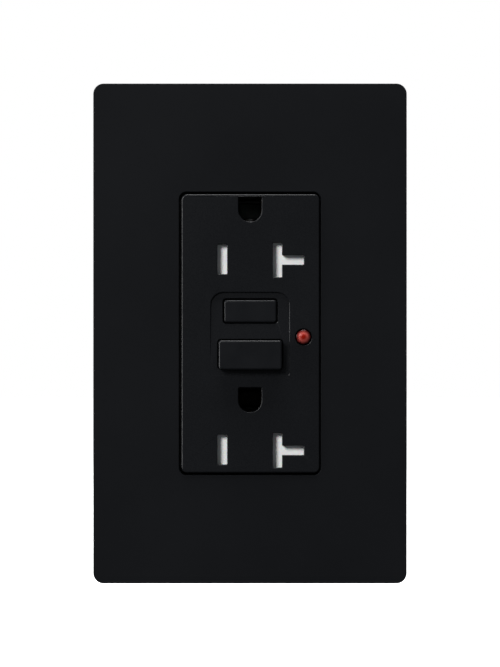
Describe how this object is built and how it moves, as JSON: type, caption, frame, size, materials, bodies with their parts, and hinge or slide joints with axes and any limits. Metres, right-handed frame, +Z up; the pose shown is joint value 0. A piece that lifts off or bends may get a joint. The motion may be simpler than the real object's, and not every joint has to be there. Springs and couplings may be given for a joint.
{
  "type": "gfci outlet",
  "caption": "Tamper-resistant duplex ground-fault outlet with test and reset buttons, a red light and a screwless two-piece wall plate.",
  "frame": {"origin": "middle of the wall plane, at the back faces of the mounting strap's ears", "axes": "+Z up, the outlet faces -Y, +Y goes into the wall, +X is to the right as seen from the front"},
  "size_m": [0.0746, 0.0395, 0.119],
  "materials": {
    "plate_black": "moulded, fine matte texture",
    "adapter_black": "moulded, plain",
    "device_black": "moulded, satin",
    "button_black": "moulded, satin",
    "housing_black": "moulded, dull",
    "shutter_white": "moulded acetal",
    "nylon_natural": "moulded, unpigmented",
    "lens_red": "clear red, polished",
    "zinc_steel": "zinc plated",
    "nickel_steel": "nickel plated",
    "spring_steel": "drawn wire and strip",
    "green_screw": "green passivated",
    "brass": "stamped",
    "copper_winding": "enamelled copper wire",
    "board_green": "glass-fibre laminate with solder mask",
    "fibre_red": "pressed fibre",
    "varistor_blue": "dipped epoxy",
    "chip_black": "moulded epoxy"
  },
  "bodies": {
    "outlet": {"plate_adapter": "adapter_black", "adapter_screw_upper": "adapter_black", "adapter_screw_lower": "adapter_black", "box_screw_upper": "zinc_steel", "box_screw_lower": "zinc_steel", "screw_retainer_upper": "fibre_red", "screw_retainer_lower": "fibre_red", "yoke_strap": "zinc_steel", "front_cover": "device_black", "reset_spring": "spring_steel", "shutter_bracket_upper": "nylon_natural", "shutter_bracket_lower": "nylon_natural", "shutter_spring_upper": "spring_steel", "shutter_spring_lower": "spring_steel", "hot_contact_strip": "brass", "neutral_contact_strip": "brass", "ground_contact_upper": "brass", "ground_contact_lower": "brass", "separator": "housing_black", "indicator_lens": "lens_red", "indicator_lamp": "lens_red", "sensing_coil": "housing_black", "neutral_coil": "copper_winding", "solenoid_bobbin": "nylon_natural", "solenoid_winding": "copper_winding", "solenoid_frame": "zinc_steel", "plunger_spring": "spring_steel", "circuit_board": "board_green", "surge_varistor": "varistor_blue", "controller_chip": "chip_black", "rear_housing": "housing_black", "load_terminal_hot": "brass", "load_terminal_neutral": "nickel_steel", "line_terminal_hot": "brass", "line_terminal_neutral": "nickel_steel", "assembly_screw_upper_left": "zinc_steel", "assembly_screw_upper_right": "zinc_steel", "assembly_screw_lower_left": "zinc_steel", "assembly_screw_lower_right": "zinc_steel"},
    "wall_plate": {"wall_plate": "plate_black"},
    "test_button": {"test_button": "button_black"},
    "test_contact": {"test_contact": "spring_steel"},
    "reset_button": {"reset_button": "button_black", "reset_pin": "zinc_steel"},
    "latch_block": {"latch_block": "nylon_natural"},
    "latch_plate": {"latch_plate": "zinc_steel"},
    "contact_arm_hot": {"contact_arm_hot": "brass"},
    "contact_arm_neutral": {"contact_arm_neutral": "brass"},
    "solenoid_plunger": {"solenoid_plunger": "zinc_steel"},
    "shutter_upper": {"shutter_upper": "shutter_white"},
    "shutter_lower": {"shutter_lower": "shutter_white"},
    "ground_screw": {"ground_screw": "green_screw"},
    "load_clamp_hot": {"load_clamp_hot": "zinc_steel"},
    "load_screw_hot": {"load_screw_hot": "brass"},
    "load_clamp_neutral": {"load_clamp_neutral": "zinc_steel"},
    "load_screw_neutral": {"load_screw_neutral": "nickel_steel"},
    "line_clamp_hot": {"line_clamp_hot": "zinc_steel"},
    "line_screw_hot": {"line_screw_hot": "brass"},
    "line_clamp_neutral": {"line_clamp_neutral": "zinc_steel"},
    "line_screw_neutral": {"line_screw_neutral": "nickel_steel"}
  },
  "joints": [
    {"name": "wall_plate_pull", "type": "slide", "parent": "outlet", "child": "wall_plate", "axis": [0, -1, 0], "range_m": [0, 0.02]},
    {"name": "test_press", "type": "slide", "parent": "outlet", "child": "test_button", "axis": [0, 1, 0], "range_m": [0, 0.0012], "stiffness_N_per_m": 400, "springref_m": -0.0015},
    {"name": "test_contact_flex", "type": "hinge", "parent": "outlet", "child": "test_contact", "pos_m": [0.0116, 0.01225, 0.0054], "axis": [0, 0, -1], "range_deg": [0, 6.5]},
    {"name": "reset_press", "type": "slide", "parent": "outlet", "child": "reset_button", "axis": [0, 1, 0], "range_m": [0, 0.0022], "stiffness_N_per_m": 500, "springref_m": -0.002, "deforming": ["reset_spring"]},
    {"name": "latch_block_slide", "type": "slide", "parent": "outlet", "child": "latch_block", "axis": [0, 1, 0], "range_m": [0, 0.0023]},
    {"name": "hot_arm_flex", "type": "hinge", "parent": "outlet", "child": "contact_arm_hot", "pos_m": [-0.008, 0.0126, -0.0145], "axis": [-1, 0, 0], "range_deg": [0, 11]},
    {"name": "neutral_arm_flex", "type": "hinge", "parent": "outlet", "child": "contact_arm_neutral", "pos_m": [0.008, 0.0126, -0.0145], "axis": [-1, 0, 0], "range_deg": [0, 11]},
    {"name": "plunger_stroke", "type": "slide", "parent": "outlet", "child": "solenoid_plunger", "axis": [0, 0, -1], "range_m": [0, 0.0015], "stiffness_N_per_m": 150, "springref_m": -0.003, "deforming": ["plunger_spring"]},
    {"name": "latch_plate_slide", "type": "slide", "parent": "latch_block", "child": "latch_plate", "axis": [0, 0, -1], "range_m": [0, 0.0016]},
    {"name": "shutter_upper_swing", "type": "hinge", "parent": "outlet", "child": "shutter_upper", "pos_m": [0, -0.0049, 0.02265], "axis": [1, 0, 0], "range_deg": [0, 90], "stiffness_Nm_per_rad": 0.0006, "springref_deg": -22.92, "deforming": ["shutter_spring_upper"]},
    {"name": "shutter_lower_swing", "type": "hinge", "parent": "outlet", "child": "shutter_lower", "pos_m": [0, -0.0049, -0.0227], "axis": [1, 0, 0], "range_deg": [0, 90], "stiffness_Nm_per_rad": 0.0006, "springref_deg": -22.92, "deforming": ["shutter_spring_lower"]},
    {"name": "load_hot_clamp_slide", "type": "slide", "parent": "outlet", "child": "load_clamp_hot", "axis": [-1, 0, 0], "range_m": [0, 0.002]},
    {"name": "load_hot_screw_turn", "type": "hinge", "parent": "load_clamp_hot", "child": "load_screw_hot", "pos_m": [-0.0182, 0.0136, 0.0185], "axis": [-1, 0, 0], "range_deg": [0, 900]},
    {"name": "load_neutral_clamp_slide", "type": "slide", "parent": "outlet", "child": "load_clamp_neutral", "axis": [1, 0, 0], "range_m": [0, 0.002]},
    {"name": "load_neutral_screw_turn", "type": "hinge", "parent": "load_clamp_neutral", "child": "load_screw_neutral", "pos_m": [0.0182, 0.0136, 0.0185], "axis": [1, 0, 0], "range_deg": [0, 900]},
    {"name": "line_hot_clamp_slide", "type": "slide", "parent": "outlet", "child": "line_clamp_hot", "axis": [-1, 0, 0], "range_m": [0, 0.002]},
    {"name": "line_hot_screw_turn", "type": "hinge", "parent": "line_clamp_hot", "child": "line_screw_hot", "pos_m": [-0.0182, 0.0136, -0.0185], "axis": [-1, 0, 0], "range_deg": [0, 900]},
    {"name": "line_neutral_clamp_slide", "type": "slide", "parent": "outlet", "child": "line_clamp_neutral", "axis": [1, 0, 0], "range_m": [0, 0.002]},
    {"name": "line_neutral_screw_turn", "type": "hinge", "parent": "line_clamp_neutral", "child": "line_screw_neutral", "pos_m": [0.0182, 0.0136, -0.0185], "axis": [1, 0, 0], "range_deg": [0, 900]},
    {"name": "ground_screw_turn", "type": "hinge", "parent": "outlet", "child": "ground_screw", "pos_m": [-0.0134, 0.006, -0.0372], "axis": [0, 0, -1], "range_deg": [0, 720]}
  ],
  "couplings": [
    {"joint": "test_contact_flex", "follows": "test_press", "rad_per_m": 86.2},
    {"joint": "latch_block_slide", "follows": "reset_press", "ratio": 1},
    {"joint": "hot_arm_flex", "follows": "reset_press", "rad_per_m": 84},
    {"joint": "neutral_arm_flex", "follows": "reset_press", "rad_per_m": 84},
    {"joint": "latch_plate_slide", "follows": "plunger_stroke", "ratio": 1},
    {"joint": "load_hot_clamp_slide", "follows": "load_hot_screw_turn", "m_per_rad": 0.0001264},
    {"joint": "load_neutral_clamp_slide", "follows": "load_neutral_screw_turn", "m_per_rad": 0.0001264},
    {"joint": "line_hot_clamp_slide", "follows": "line_hot_screw_turn", "m_per_rad": 0.0001264},
    {"joint": "line_neutral_clamp_slide", "follows": "line_neutral_screw_turn", "m_per_rad": 0.0001264}
  ]
}
